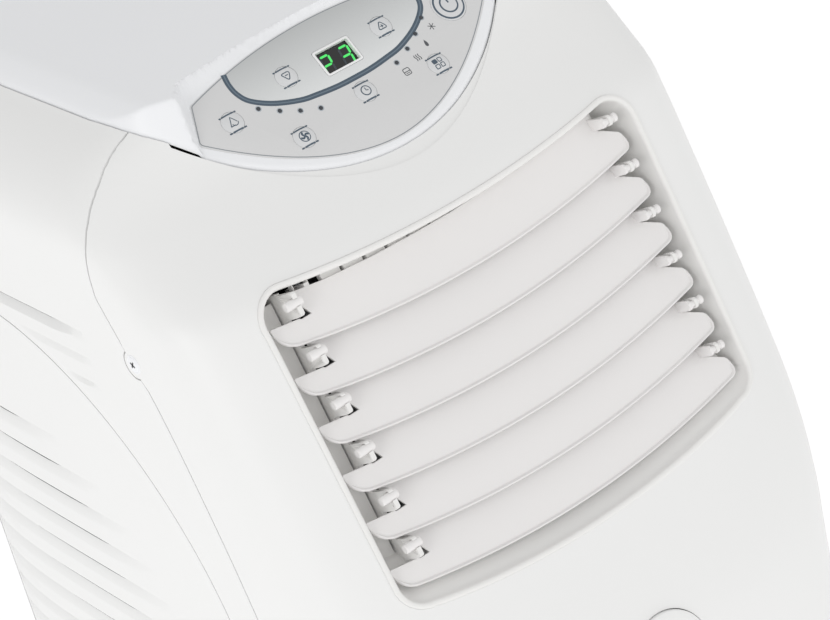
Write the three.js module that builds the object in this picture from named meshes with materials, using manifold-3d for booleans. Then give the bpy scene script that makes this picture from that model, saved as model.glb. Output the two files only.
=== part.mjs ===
// Portable air conditioner on four casters, millimetres, +Z up. The front faces -Y and the power button
// is on the +X side. The origin lies on the floor under the middle of the object.
import * as THREE from "three";
import { mergeVertices, mergeGeometries } from "three/addons/utils/BufferGeometryUtils.js";
import Module from "manifold-3d";

const wasm = await Module();
wasm.setup();

// ---- driving dimensions -------------------------------------------------------------------------
const bodyHeight = 668; // top of the cover above the base edge
const bodyBottom = 32; // underside of the cabinet above the floor
const bodyTop = bodyBottom + bodyHeight;
const bodyHalf = 172; // half width of the cabinet
const backY = 225;
const wall = 3; // cabinet wall
const gap = 0.35; // running gap between neighbouring pieces
const coverSeam = 690; // height of the seam under the top cover
const louvreTilt = Math.atan2(0.4038, 0.9148); // lean of the outlet face
const pivotTop = new THREE.Vector3(0, -108, 606); // axis of the uppermost vane
const vanePitch = 27.2;
const vaneCount = 6;
const vaneHalf = 118; // half width of a vane
const pivotHalf = 124.5; // ends of the pivot pins
const leverLength = 30; // from the pivots back to the link
const outletHalf = 128; // half width of the outlet
const outletLow = 169; // lower corners of the outlet, down the face from the top pivot
const outletHigh = 12.4; // upper corners above it
const bow = 12; // drop of the outlet edges and of the vanes at the centre line
const panelTilt = Math.atan2(0.67, 0.742); // slope of the control panel from level
const panelAt = new THREE.Vector3(0, -51.9, 660.5);
const panelHalf = 97;
const wheelRadius = 18;
const wheelWidth = 14;
const casterX = 110;
const casterY = 140;
const casterTrail = 10;
const buttonTravel = 1.2;
const louvreDepth = 50;

// ---- solids ---------------------------------------------------------------------------------------
const solidOf = (geometry) => {
  let g = geometry.index ? geometry.toNonIndexed() : geometry.clone();
  g = new THREE.BufferGeometry().setAttribute("position", g.getAttribute("position"));
  g = mergeVertices(g, 1e-3);
  const made = new wasm.Manifold(new wasm.Mesh({
    numProp: 3, vertProperties: new Float32Array(g.attributes.position.array), triVerts: new Uint32Array(g.index.array),
  }));
  if (made.volume() < 0) throw new Error("inside out");
  return made;
};
const geometryOf = (solid) => {
  const m = solid.getMesh();
  const g = new THREE.BufferGeometry();
  const p = new Float32Array((m.vertProperties.length / m.numProp) * 3);
  for (let i = 0; i < p.length / 3; i++)
    for (let k = 0; k < 3; k++) p[3 * i + k] = m.vertProperties[i * m.numProp + k];
  g.setAttribute("position", new THREE.BufferAttribute(p, 3));
  g.setIndex(new THREE.BufferAttribute(new Uint32Array(m.triVerts), 1));
  return g;
};
const box = (x0, x1, y0, y1, z0, z1) =>
  new THREE.BoxGeometry(x1 - x0, y1 - y0, z1 - z0).translate((x0 + x1) / 2, (y0 + y1) / 2, (z0 + z1) / 2);
const solidBox = (...a) => solidOf(box(...a));
const rod = (r, length, sides = 24, r2 = r) => new THREE.CylinderGeometry(r2, r, length, sides).rotateX(Math.PI / 2);
const alongX = (g) => g.rotateY(Math.PI / 2);
const alongY = (g) => g.rotateX(-Math.PI / 2);
const tube = (outer, inner, length, sides = 32) => {
  const h = length / 2;
  const p = [[inner, -h], [outer, -h], [outer, h], [inner, h], [inner, -h]].map(([a, b]) => new THREE.Vector2(a, b));
  return new THREE.LatheGeometry(p, sides).rotateX(Math.PI / 2);
};
const plate = (points, depth) =>
  new THREE.ExtrudeGeometry(new THREE.Shape(points.map(([a, b]) => new THREE.Vector2(a, b))),
    { depth, bevelEnabled: false, steps: 1, curveSegments: 8 });
const sideways = (g) => g.applyMatrix4(new THREE.Matrix4().makeBasis(
  new THREE.Vector3(0, 1, 0), new THREE.Vector3(0, 0, 1), new THREE.Vector3(1, 0, 0))); // drawn in (y, z), deep in x
const roundRect = (w, h, r, n = 6) => {
  const out = [];
  for (const [cx, cy, a] of [[w / 2 - r, h / 2 - r, 0], [r - w / 2, h / 2 - r, 1], [r - w / 2, r - h / 2, 2], [w / 2 - r, r - h / 2, 3]])
    for (let i = 0; i <= n; i++) {
      const t = (a + i / n) * (Math.PI / 2);
      out.push([cx + r * Math.cos(t), cy + r * Math.sin(t)]);
    }
  return out;
};
const mix = (table, at) => {
  if (at >= table[0][0]) return table[0][1];
  for (let i = 1; i < table.length; i++)
    if (at >= table[i][0]) {
      const [a, b] = [table[i - 1], table[i]];
      return b[1] + ((a[1] - b[1]) * (at - b[0])) / (a[0] - b[0]);
    }
  return table.at(-1)[1];
};

// ---- cabinet envelope: a round section for every height ----------------------------------------------
const frontLine = [[700, -34], [692, -36], [678, -41], [660, -53], [640, -75], [611, -110], [601, -114], [440, -186], [370, -217],
  [330, -224], [280, -225], [200, -222], [120, -217], [32, -209]]; // height, y of the front on the centre line
const shoulder = (z) => {
  if (z > coverSeam) return 128.5 - 17 * ((z - coverSeam) / (bodyTop - coverSeam)) ** 1.6;
  if (z > 642) return 98.4 + 75 * Math.sqrt(Math.max(0, 1 - ((z - 642) / 52.4) ** 2));
  return bodyHalf + 1.4 - 14 * Math.max(0, (560 - z) / 528) ** 1.4;
};
const section = (z, inset) => ({
  w: shoulder(z) - inset, front: mix(frontLine, z) + inset, back: backY - inset - 10 * Math.max(0, (z - 640) / 60) ** 2,
  round: mix([[700, 40], [660, 50], [600, 74], [440, 84], [330, 110], [32, 110]], z), power: mix([[700, 3.4], [600, 4.5], [440, 3.8], [330, 2.8], [32, 2.7]], z),
});
const heights = [bodyTop, 698, 690, 680, 668, 654, 642, 626, 606, 560, 500, 440, 400, 370, 340, 290, 200, bodyBottom];
const envelope = (inset, top = bodyTop, bottom = bodyBottom, around = 40) => {
  const zs = heights.filter((z) => z < top - 0.4 && z > bottom + 0.4);
  zs.unshift(top);
  zs.push(bottom);
  const g = new THREE.CylinderGeometry(1, 1, zs.length - 1, around, zs.length - 1).rotateX(Math.PI / 2);
  const p = g.getAttribute("position");
  for (let i = 0; i < p.count; i++) {
    const [x, y, t] = [p.getX(i), p.getY(i), p.getZ(i)];
    const z = zs[Math.round((zs.length - 1) / 2 - t)];
    const s = section(z, inset);
    const mid = s.front + s.round;
    const r = Math.hypot(x, y);
    if (r < 0.5) { p.setXYZ(i, 0, mid, z); continue; }
    const [c, n] = [x / r, y / r];
    const e = n < 0 ? 2 / s.power : 0.24;
    const px = Math.sign(c) * Math.abs(c) ** e * s.w;
    const py = n < 0 ? mid - Math.abs(n) ** e * s.round : mid + Math.abs(n) ** e * (s.back - mid);
    p.setXYZ(i, Math.abs(c) < 1e-6 ? 0 : px, Math.abs(n) < 1e-6 ? mid : py, z);
  }
  return solidOf(g);
};
const outer = envelope(0);
const hollow = (inset) => envelope(inset, bodyTop - inset, bodyBottom - 40, 28);
const inner = hollow(wall);
const shell = outer.subtract(inner);

// ---- frames of the sloping control panel and of the outlet face ---------------------------------------
const onPanel = (g, lift = 0) => g.translate(0, 0, lift).applyMatrix4(new THREE.Matrix4()
  .makeTranslation(...panelAt).multiply(new THREE.Matrix4().makeRotationX(panelTilt)));
const onOutlet = (g, lift = 0) => g.translate(0, 0, lift).applyMatrix4(new THREE.Matrix4()
  .makeTranslation(...pivotTop).multiply(new THREE.Matrix4().makeRotationX(Math.PI / 2 - louvreTilt)));

// lens outline of the panel: the lower edge a deep arc, short slanted ends, the upper edge a shallow arc
const lensOutline = (grow) => {
  const out = [];
  const n = 16;
  for (let i = 0; i <= n; i++) {
    const x = (panelHalf + grow) * (-1 + (2 * i) / n);
    out.push([x, -31.5 - grow + 39.6 * Math.abs(x / (90 + grow)) ** 1.93]);
  }
  for (let i = 0; i <= n; i++) {
    const x = (88 + grow * 0.7) * (1 - (2 * i) / n);
    out.push([x, 51.5 + grow - 13.2 * (x / 88) ** 2]);
  }
  return out;
};
const tongueCut = solidOf(onPanel(plate(lensOutline(6), 70), -0.4));
const tongueBlock = (grow, depth) => solidOf(onPanel(plate(lensOutline(6 + grow), depth + grow), -depth - grow));

// ---- cabinet pieces ------------------------------------------------------------------------------------
const sideLine = [[-22, 760], [-22, 688], [-24.3, 679], [-29.3, 665], [-34.2, 647], [-32.7, 632], [-32.9, 621], [-37, 613],
  [-49, 593], [-55.7, 581], [-71.8, 548], [-88.8, 501], [-104, 449], [-115, 400], [-123, 350], [-129, 300],
  [-133, 200], [-133, 20]]; // seam of the front shell, in (y, z)
const frontOf = (shift) => solidOf(sideways(plate([[-300, 760], [-300, 20], ...sideLine.toReversed().map(([y, z]) => [y + shift, z])].toReversed(), 400)).translate(-200, 0, 0));
const backOf = (y) => solidBox(-200, 200, y, 300, 0, 760);
const coverRegion = (grow) => solidBox(-200, 200, -300, 300, coverSeam - grow, 760).add(tongueBlock(grow, 9));
const lid = outer.subtract(inner.subtract(solidBox(-200, 200, -300, 300, coverSeam + 2, 760)).intersect(solidBox(-200, 200, -300, 300, 0, coverSeam + 4)))
  .intersect(solidBox(-200, 200, -300, 300, coverSeam, 760));
const panelSeat = solidOf(onPanel(plate(lensOutline(0.3), 4), -2.4));
const underPanel = solidOf(onPanel(plate(lensOutline(-3), 20), -12));
const topCover = lid.add(tongueBlock(0, 6)).subtract(tongueCut).subtract(panelSeat).subtract(underPanel.subtract(tongueCut));

// outlet opening: straight sides, both ends bowed downwards, round corners
const outletOutline = (grow, reach = 0) => {
  const out = [];
  const [l, r] = [-outletHalf - grow, outletHalf + grow];
  const [t, b] = [outletHigh + grow + reach, -outletLow - grow];
  const c = 17 + grow;
  const drop = (x) => bow * (1 - (x / outletHalf) ** 2);
  const corner = (cx, cy, from) => {
    for (let i = 0; i <= 5; i++) {
      const a = ((from + i / 5) * Math.PI) / 2;
      out.push([cx + c * Math.cos(a), cy + c * Math.sin(a)]);
    }
  };
  corner(r - c, t - c, 0);
  for (let i = 1; i < 10; i++) { const x = (r - c) * (1 - i / 5); out.push([x, t - drop(x) + drop(r - c)]); }
  corner(l + c, t - c, 1);
  corner(l + c, b + c, 2);
  for (let i = 1; i < 10; i++) { const x = (l + c) * (1 - i / 5); out.push([x, b - drop(x) + drop(r - c)]); }
  corner(r - c, b + c, 3);
  return out;
};
const outletCut = (grow) => solidOf(onOutlet(plate(outletOutline(grow), 120), -60));
const noseAt = [0, 365];
const noseRadius = 26;
const onNose = (g) => solidOf(alongY(g).rotateZ(Math.PI).rotateX(-0.26).translate(noseAt[0], -218.5, noseAt[1]));
const noseCut = (r) => onNose(rod(r, 40, 28));
const frontShell = shell.intersect(frontOf(-gap / 2)).subtract(coverRegion(gap)).subtract(tongueCut)
  .subtract(outletCut(gap)).subtract(noseCut(noseRadius + gap));

// curved side inserts with the intake slots
const insertOutline = (grow) => {
  const out = [];
  const [cy, cz] = [112, 384];
  for (let i = 0; i <= 26; i++) {
    const a = Math.PI * (0.5 + (i / 26) * 0.88);
    const r = a < Math.PI ? 193.5 : 262;
    out.push([cy + (193.5 + grow) * Math.cos(a), cz + (r + grow) * Math.sin(a)]);
  }
  const low = out.at(-1)[1];
  out.push([196 + grow, low], [196 + grow, cz + 193.5 + grow]);
  return out;
};
const insertRegion = (side, grow) => solidOf(sideways(plate(insertOutline(grow), 120)).translate(side > 0 ? 90 : -210, 0, 0));
const slotHeights = Array.from({ length: 15 }, (_, i) => 503 - i * 21);
const slotTip = (z) => 112 - Math.sqrt(Math.max(0, 131 ** 2 - ((z - 384) * (z < 384 ? 0.72 : 1)) ** 2));
const slotCuts = (side) => slotHeights.map((z) => solidOf(sideways(plate(
  [[slotTip(z), z - 0.6], [186, z - 8], [186, z], [slotTip(z), z + 0.6]], 90)).translate(side > 0 ? 120 : -210, 0, 0)));
const sideRegion = (side) => solidBox(side > 0 ? 0.5 : -200, side > 0 ? 200 : -0.5, -300, backY - 14, 0, coverSeam - gap);
const sideShell = (side) => shell.subtract(frontOf(gap / 2)).subtract(coverRegion(gap)).intersect(sideRegion(side))
  .subtract(insertRegion(side, gap));
const sideInsert = (side) => {
  let piece = envelope(-1.2).subtract(hollow(wall)).intersect(insertRegion(side, 0));
  for (const cut of slotCuts(side)) piece = piece.subtract(cut);
  return piece;
};
const exhaustAt = [0, 560]; // x and z of the hose collar
const exhaustRadius = 66;
const rearOpening = [-112, 112, 128, 420];
const drainAt = [-118, 92];
const glandAt = [118, 92];
const rearHole = (r, [x, z]) => solidOf(alongY(rod(r, 60, 32)).translate(x, backY - 5, z));
const rearPanel = outer.subtract(hollow(wall + 1)).intersect(backOf(backY - 14 + gap))
  .intersect(solidBox(-200, 200, 0, 300, 0, coverSeam - gap)).subtract(rearHole(exhaustRadius + gap, exhaustAt))
  .subtract(solidBox(rearOpening[0], rearOpening[1], 200, 240, rearOpening[2], rearOpening[3]))
  .subtract(rearHole(9, drainAt)).subtract(rearHole(9, glandAt));

const group = new THREE.Group();
const finishes = {
  shell: ["#e9e8e7", 0.42, 0], cover: ["#e2e3e5", 0.45, 0], panel: ["#cdcdcd", 0.4, 0.1], dark: ["#15181a", 0.3, 0], silver: ["#c9c9c9", 0.35, 0.3],
  vane: ["#e7e5e5", 0.36, 0], rubber: ["#2c2c2c", 0.8, 0], steel: ["#b9bcc0", 0.35, 0.9], copper: ["#b5703f", 0.35, 0.9], fin: ["#c4c8cb", 0.4, 0.85],
  black: ["#222426", 0.5, 0], board: ["#1f5c37", 0.5, 0], mesh: ["#d3d5d6", 0.6, 0],
};
const add = (name, solid, finish) => {
  const g = solid instanceof THREE.BufferGeometry ? solid : geometryOf(solid);
  const [color, roughness, metalness] = finishes[finish];
  const mesh = new THREE.Mesh(g, new THREE.MeshStandardMaterial({ color, roughness, metalness }));
  mesh.name = name;
  group.add(mesh);
  return mesh;
};
add("front_shell", frontShell, "shell");
add("top_cover", topCover, "cover");
for (const [side, tag] of [[-1, "left"], [1, "right"]]) {
  add(`side_shell_${tag}`, sideShell(side), "shell");
  add(`side_insert_${tag}`, sideInsert(side), "shell");
}
add("rear_panel", rearPanel, "shell");


// ---- outlet: frame, six vanes on pins, link and motor ------------------------------------------------
const ring = (grow, reach, from, to) => solidOf(onOutlet(plate(outletOutline(grow, reach), to - from), from));
let louvreFrame = ring(0, 14, -louvreDepth, -14).add(ring(0, 0, -15, 1)).subtract(ring(-7, 16, -louvreDepth - 5, -5))
  .subtract(ring(-7, 0, -6, 5));
for (let i = 0; i < vaneCount; i++)
  for (const side of [-1, 1])
    louvreFrame = louvreFrame.subtract(solidOf(onOutlet(alongX(rod(3, 12, 8)).translate(side * 120.1, -i * vanePitch, 0))));
// the pins drop in from the face through short slots
for (let i = 0; i < vaneCount; i++)
  for (const side of [-1, 1])
    louvreFrame = louvreFrame.subtract(solidOf(onOutlet(box(side * 120.1 - 6, side * 120.1 + 6, -i * vanePitch - 2.9,
      -i * vanePitch + 2.9, 0, 9))));
add("louvre_frame", louvreFrame, "shell");

const vane = (i) => {
  const g = new THREE.BoxGeometry(2, 1, 1, 10, 4, 1);
  const p = g.getAttribute("position");
  for (let k = 0; k < p.count; k++) {
    const [x, v, t] = [p.getX(k), 0.5 - p.getY(k), p.getZ(k) + 0.5];
    const lip = 19.6 + 11.4 * (1 - x * x);
    const u = -10 + (lip + 10) * v;
    const narrow = v > 0.9 ? 5 : v < 0.1 ? 4 : 0;
    const thick = v > 0.9 ? 3.6 : 2.2;
    const n = -13 + 0.29 * (u + 10) - (1 - t) * thick;
    p.setXYZ(k, x * (vaneHalf - narrow), -u - i * vanePitch, n);
  }
  let solid = solidOf(onOutlet(g));
  for (const side of [-1, 1]) {
    const pin = alongX(rod(2.5, pivotHalf - 111.3, 8)).translate((side * (pivotHalf + 111.3)) / 2, -i * vanePitch, 0);
    const ear = box(side * 111.5 - 1.5, side * 111.5 + 1.5, -i * vanePitch - 4.3, -i * vanePitch + 3.4, -11.2, 2.9);
    solid = solid.add(solidOf(onOutlet(pin))).add(solidOf(onOutlet(ear)));
  }
  const lever = box(-92, -89, -i * vanePitch - 4, -i * vanePitch + 4, -leverLength - 3, -11);
  const crank = alongX(rod(1.8, 8, 8)).translate(-86, -i * vanePitch, -leverLength);
  return solid.add(solidOf(onOutlet(lever))).add(solidOf(onOutlet(crank)));
};
for (let i = 0; i < vaneCount; i++) add(`vane_${i + 1}`, vane(i), "vane");
let link = solidOf(onOutlet(box(-88.6, -85.6, -vanePitch * 5 - 6, 6, -leverLength - 4, -leverLength + 4)));
for (let i = 0; i < vaneCount; i++)
  link = link.subtract(solidOf(onOutlet(alongX(rod(2.2, 8, 8)).translate(-87, -i * vanePitch, -leverLength))));
add("louvre_link", link, "vane");
add("swing_motor", solidOf(onOutlet(alongX(rod(12, 8, 20)).translate(-132.6, -3 * vanePitch, -34))), "steel");

// ---- control panel: lens plate, display, keys, board ---------------------------------------------------
const keys = [["key_swing", -73.8, 19.3, 6.2], ["key_fan", -45.8, -5.9, 6.2], ["key_timer", 0, 0, 6.2], ["key_mode", 45.8, -5.9, 6.2],
  ["key_minus", -32.2, 27.4, 6.2], ["key_plus", 32.2, 27.4, 6.2], ["key_power", 74.2, 20.5, 10]];
const displayAt = [0, 24.3];
const displaySize = [23.4, 15.6];
let panel = solidOf(onPanel(plate(lensOutline(0), 2), -2));
for (const [, x, s, r] of keys) panel = panel.subtract(solidOf(onPanel(rod(r + gap, 8, 14).translate(x, s, 0))));
const window = (grow, depth, lift) => solidOf(onPanel(box(-displaySize[0] / 2 - grow, displaySize[0] / 2 + grow,
  displayAt[1] - displaySize[1] / 2 - grow, displayAt[1] + displaySize[1] / 2 + grow, 0, depth), lift));
add("control_panel", panel.subtract(window(gap, 8, -4)), "panel");
add("display_window", window(0, 1.2, -1.2), "dark");
add("display_module", window(-0.6, 7, -8.7), "dark");
for (const [name, x, s, r] of keys) {
  const profile = [[0, -6], [r, -6], [r, 0.3], [r * 0.7, 1], [0, 1.3]].map(([a, b]) => new THREE.Vector2(a, b));
  add(name, solidOf(onPanel(new THREE.LatheGeometry(profile, 14).rotateX(Math.PI / 2).translate(x, s, 0))), "silver");
}
add("control_board", solidOf(onPanel(box(-66, 66, -12, 40, -10.6, -9))).subtract(solidOf(onPanel(
  rod(3, 6, 12).translate(0, 8, -10)))), "board");

// ---- front cap, seam screws ----------------------------------------------------------------------------
const capProfile = [[0, -8], [noseRadius, -8], [noseRadius, 1], [noseRadius - 3, 3], [noseRadius - 6, 1.4], [0, 0.6]].map(([a, b]) => new THREE.Vector2(a, b));
add("front_cap", onNose(new THREE.LatheGeometry(capProfile, 28).rotateX(Math.PI / 2)), "shell");

// ---- base, casters -------------------------------------------------------------------------------------
const corners = [[-1, -1, "front_left"], [1, -1, "front_right"], [-1, 1, "rear_left"], [1, 1, "rear_right"]];
let base = solidOf(plate(roundRect(284, 372, 90), 4).translate(0, 18, 46));
for (const [sx, sy] of corners)
  base = base.add(solidOf(rod(11, 18, 20).translate(sx * casterX, sy * casterY, 56)))
    .subtract(solidOf(rod(5.2, 40, 16).translate(sx * casterX, sy * casterY, 56)));
add("base_pan", base, "black");
for (const [sx, sy, tag] of corners) {
  const [x, y] = [sx * casterX, sy * casterY];
  const head = plate(roundRect(24, 40, 8, 3), 5).translate(0, casterTrail - 2, 37.5);
  let fork = solidOf(head).add(solidOf(rod(4.9, 26, 16).translate(0, 0, 50)));
  for (const side of [-1, 1])
    fork = fork.add(solidOf(plate([[-6, 0], [6, 0], [9, 26], [-12, 26]], 2.4).applyMatrix4(new THREE.Matrix4().makeBasis(
      new THREE.Vector3(0, 1, 0), new THREE.Vector3(0, 0, 1), new THREE.Vector3(1, 0, 0)))
      .translate(side * 9.6 - 1.2, casterTrail, 12.5)));
  fork = fork.add(solidOf(alongX(rod(2.2, 20, 12)).translate(0, casterTrail, wheelRadius)));
  fork.translate ? add(`caster_fork_${tag}`, fork.translate([x, y, 0]), "black") : null;
  const w = wheelWidth / 2;
  const profile = [[2.5, -w], [wheelRadius - 3, -w], [wheelRadius, -w + 3], [wheelRadius, w - 3], [wheelRadius - 3, w], [2.5, w], [2.5, -w]]
    .map(([a, b]) => new THREE.Vector2(a, b));
  add(`caster_wheel_${tag}`, solidOf(new THREE.LatheGeometry(profile, 20).rotateZ(Math.PI / 2)
    .translate(x, y + casterTrail, wheelRadius)), "rubber");
}

// ---- rear: tilting filter grille, exhaust collar and duct, drain cap, cord gland ------------------------
const [gx0, gx1, gz0, gz1] = [rearOpening[0] + 1, rearOpening[1] - 1, rearOpening[2] + 1, rearOpening[3] - 1];
let grille = solidBox(gx0, gx1, backY - 5, backY - 0.5, gz0, gz1);
for (let z = gz0 + 16; z < gz1 - 14; z += 14) grille = grille.subtract(solidBox(gx0 + 12, -3, 210, 240, z, z + 8))
  .subtract(solidBox(3, gx1 - 12, 210, 240, z, z + 8));
add("rear_grille", grille, "shell");
add("rear_filter", solidBox(gx0 + 6, gx1 - 6, backY - 9, backY - 5.4, gz0 + 6, gz1 - 6), "mesh");
add("exhaust_collar", solidOf(alongY(tube(exhaustRadius, exhaustRadius - 4, 26, 40)).translate(exhaustAt[0], backY - 13.5, exhaustAt[1])), "shell");
add("exhaust_duct", solidBox(-74, 74, 120, 197, 434, 640).subtract(solidBox(-71, 71, 123, 194, 430, 637))
  .subtract(solidOf(alongY(rod(exhaustRadius - 5, 30, 40)).translate(exhaustAt[0], 196, exhaustAt[1]))), "mesh");
add("drain_cap", solidOf(alongY(rod(8.7, 16, 24)).translate(drainAt[0], backY - 8.5, drainAt[1]))
  .add(solidBox(drainAt[0] - 6, drainAt[0] + 6, backY - 4, backY - 0.4, drainAt[1] - 1.5, drainAt[1] + 1.5)), "black");
add("cord_gland", solidOf(alongY(tube(8.7, 4, 16, 24)).translate(glandAt[0], backY - 8.5, glandAt[1])), "black");

// ---- inside ----------------------------------------------------------------------------------------------
add("bulkhead", solidOf(plate(roundRect(296, 300, 30), 3).translate(0, 30, 430)).subtract(solidBox(-76, 76, 118, 199, 420, 440))
  .subtract(solidOf(rod(9, 20, 16).translate(96, 79, 431))), "mesh");
add("evaporator", solidBox(-110, 110, 66, 92, 436, 600), "fin");
add("blower_wheel", solidOf(alongX(tube(46, 38, 200, 32)).translate(-8, 6, 516))
  .add(solidOf(alongX(rod(45, 3, 32)).translate(90, 6, 516))).add(solidOf(alongX(rod(5, 30, 16)).translate(104, 6, 516))), "black");
add("blower_motor", solidOf(alongX(rod(30, 26, 28)).translate(134, 6, 516)).subtract(solidOf(alongX(rod(5.6, 12, 16)).translate(120, 6, 516))), "steel");
add("condenser", solidBox(-106, 106, 178, 204, 134, 414), "fin");
const blades = (() => {
  let fan = solidOf(alongY(rod(22, 34, 24)).translate(0, 146, 272));
  for (let i = 0; i < 5; i++)
    fan = fan.add(solidOf(box(18, 88, -2, 2, -22, 22).rotateX(0.6).rotateY((i * 2 * Math.PI) / 5).translate(0, 146, 272)));
  return fan.subtract(solidOf(alongY(rod(4.6, 90, 12)).translate(0, 125, 272)));
})();
add("condenser_fan", blades, "black");
add("condenser_motor", solidOf(alongY(rod(34, 46, 28)).translate(0, 96, 272)).add(solidOf(alongY(rod(4, 50, 16)).translate(0, 135, 272))), "steel");
add("motor_bracket", solidBox(-26, 26, 70, 73, 52, 300).add(solidBox(-26, 26, 30, 73, 51, 54)), "steel");
const shellProfile = [[0, 62], [44, 62], [54, 72], [56, 90], [56, 232], [50, 252], [30, 266], [0, 270]].map(([a, b]) => new THREE.Vector2(a, b));
add("compressor", solidOf(new THREE.LatheGeometry(shellProfile, 32).rotateX(Math.PI / 2).translate(70, -60, 0))
  .add(solidBox(6, 134, -90, -30, 56, 63)), "black");
add("water_tank", solidBox(-126, -12, -128, -30, 50.5, 120).subtract(solidBox(-123, -15, -125, -33, 53.5, 130)), "mesh");
const route = new THREE.CatmullRomCurve3([[70, -60, 271], [70, -60, 330], [76, 0, 372], [96, 60, 404], [96, 79, 424], [96, 79, 435.6]]
  .map((q) => new THREE.Vector3(...q)));
add("refrigerant_pipe", solidOf(new THREE.ExtrudeGeometry(new THREE.Shape(roundRect(9.9, 9.9, 4.9, 2).map(([a, b]) => new THREE.Vector2(a, b))),
  { steps: 18, extrudePath: route, bevelEnabled: false })), "copper");

export default group;
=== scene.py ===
import math
import bmesh
import bpy
import numpy as np
from mathutils import Matrix, Vector
from mathutils.bvhtree import BVHTree


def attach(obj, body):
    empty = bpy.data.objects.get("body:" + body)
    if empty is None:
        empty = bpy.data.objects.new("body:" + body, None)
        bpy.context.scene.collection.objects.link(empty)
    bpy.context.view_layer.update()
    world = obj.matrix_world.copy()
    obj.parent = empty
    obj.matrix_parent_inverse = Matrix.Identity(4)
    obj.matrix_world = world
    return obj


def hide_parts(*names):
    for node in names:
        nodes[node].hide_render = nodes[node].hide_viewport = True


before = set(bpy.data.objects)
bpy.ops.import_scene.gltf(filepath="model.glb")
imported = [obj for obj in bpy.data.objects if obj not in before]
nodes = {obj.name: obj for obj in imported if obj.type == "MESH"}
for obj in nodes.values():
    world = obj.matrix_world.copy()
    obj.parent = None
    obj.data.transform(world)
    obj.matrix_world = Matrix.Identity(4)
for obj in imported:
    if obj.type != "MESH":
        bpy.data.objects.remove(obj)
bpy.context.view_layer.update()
mm = 0.001

# small helpers


def toLinear(code, alpha=1.0):
    out = []
    for i in (1, 3, 5):
        c = int(code[i:i + 2], 16) / 255
        out.append(c / 12.92 if c <= 0.04045 else ((c + 0.055) / 1.055) ** 2.4)
    return (*out, alpha)


def addNode(tree, kind, links=None, **settings):
    node = tree.nodes.new(kind)
    for key, value in settings.items():
        if key.startswith("in_"):
            node.inputs[key[3:].replace("_", " ")].default_value = value
        else:
            setattr(node, key, value)
    for socket, source in (links or {}).items():
        tree.links.new(source, node.inputs[socket])
    return node


def smoothTable(table, at):
    xs, ys = zip(*sorted(table))
    xs, ys = np.array(xs, float), np.array(ys, float)
    at = np.clip(np.asarray(at, float), xs[0], xs[-1])
    h, d = np.diff(xs), np.diff(ys) / np.diff(xs)
    m = np.zeros(len(xs))
    m[0], m[-1] = d[0], d[-1]
    for i in range(1, len(xs) - 1):
        if d[i - 1] * d[i] > 0:
            a, b = 2 * h[i] + h[i - 1], h[i] + 2 * h[i - 1]
            m[i] = (a + b) / (a / d[i - 1] + b / d[i])
    k = np.clip(np.searchsorted(xs, at) - 1, 0, len(h) - 1)
    t = (at - xs[k]) / h[k]
    return ((1 + 2 * t) * (1 - t) ** 2 * ys[k] + t * (1 - t) ** 2 * h[k] * m[k]
            + t * t * (3 - 2 * t) * ys[k + 1] + t * t * (t - 1) * h[k] * m[k + 1])


def newMesh(bm, name, smooth=True, sharp=28):
    name = name.replace(" ", "_")
    mesh = bpy.data.meshes.new(name)
    bm.to_mesh(mesh)
    bm.free()
    obj = bpy.data.objects.new(name, mesh)
    bpy.context.collection.objects.link(obj)
    if smooth:
        tidyFaces(obj, sharp)
    return obj


def place(obj, body, material, slot, *covers):
    obj.data.materials.clear()
    obj.data.materials.append(material)
    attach(obj, body)
    if covers:
        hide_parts(*covers)
    return obj


def carve(obj, tools, how="DIFFERENCE", keepTools=False):
    for tool in tools:
        m = obj.modifiers.new("carve", "BOOLEAN")
        m.operation, m.object, m.solver = how, tool, "MANIFOLD"
        obj.update_tag()
    bpy.context.view_layer.update()
    made = bpy.data.meshes.new_from_object(obj.evaluated_get(bpy.context.evaluated_depsgraph_get()))
    obj.modifiers.clear()
    old = obj.data
    obj.data = made
    bpy.data.meshes.remove(old)
    if not keepTools:
        for tool in tools:
            bpy.data.objects.remove(tool)
    return obj


def tidyFaces(obj, sharp=28):
    # large flat caps stay flat, everything else is shaded smooth up to the sharp angle
    obj.data.polygons.foreach_set("use_smooth", [p.loop_total < 13 for p in obj.data.polygons])
    obj.data.set_sharp_from_angle(angle=math.radians(sharp))
    return obj


def copyOf(obj, name):
    name = name.replace(" ", "_")
    made = bpy.data.objects.new(name, obj.data.copy())
    bpy.context.collection.objects.link(made)
    return made


def turnsOf(count):
    return np.linspace(0, 2 * math.pi, count, endpoint=False)


def spread(path, count):
    # even steps along a closed path whose last point is its first again
    run = np.concatenate([[0], np.cumsum(np.hypot(*np.diff(path, axis=0).T))])
    at = np.linspace(0, run[-1], count, endpoint=False)
    return np.stack([np.interp(at, run, path[:, 0]), np.interp(at, run, path[:, 1])], 1)


def grown(ring, amount):
    along = np.roll(ring, -1, 0) - np.roll(ring, 1, 0)
    side = np.stack([along[:, 1], -along[:, 0]], 1)
    return ring + amount * side / np.linalg.norm(side, axis=1)[:, None]


def nextRow(bm, edges, verts, row):
    # pushes a row of edges out to the next row of points in mm
    made = bmesh.ops.extrude_edge_only(bm, edges=edges)["geom"]
    fresh = {g for g in made if isinstance(g, bmesh.types.BMVert)}
    verts = [next(e.other_vert(v) for e in v.link_edges if e.other_vert(v) in fresh) for v in verts]
    for v, p in zip(verts, row):
        v.co = Vector(p) * mm
    edges = [g for g in made if isinstance(g, bmesh.types.BMEdge) and g.verts[0] in fresh and g.verts[1] in fresh]
    return edges, verts


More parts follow.
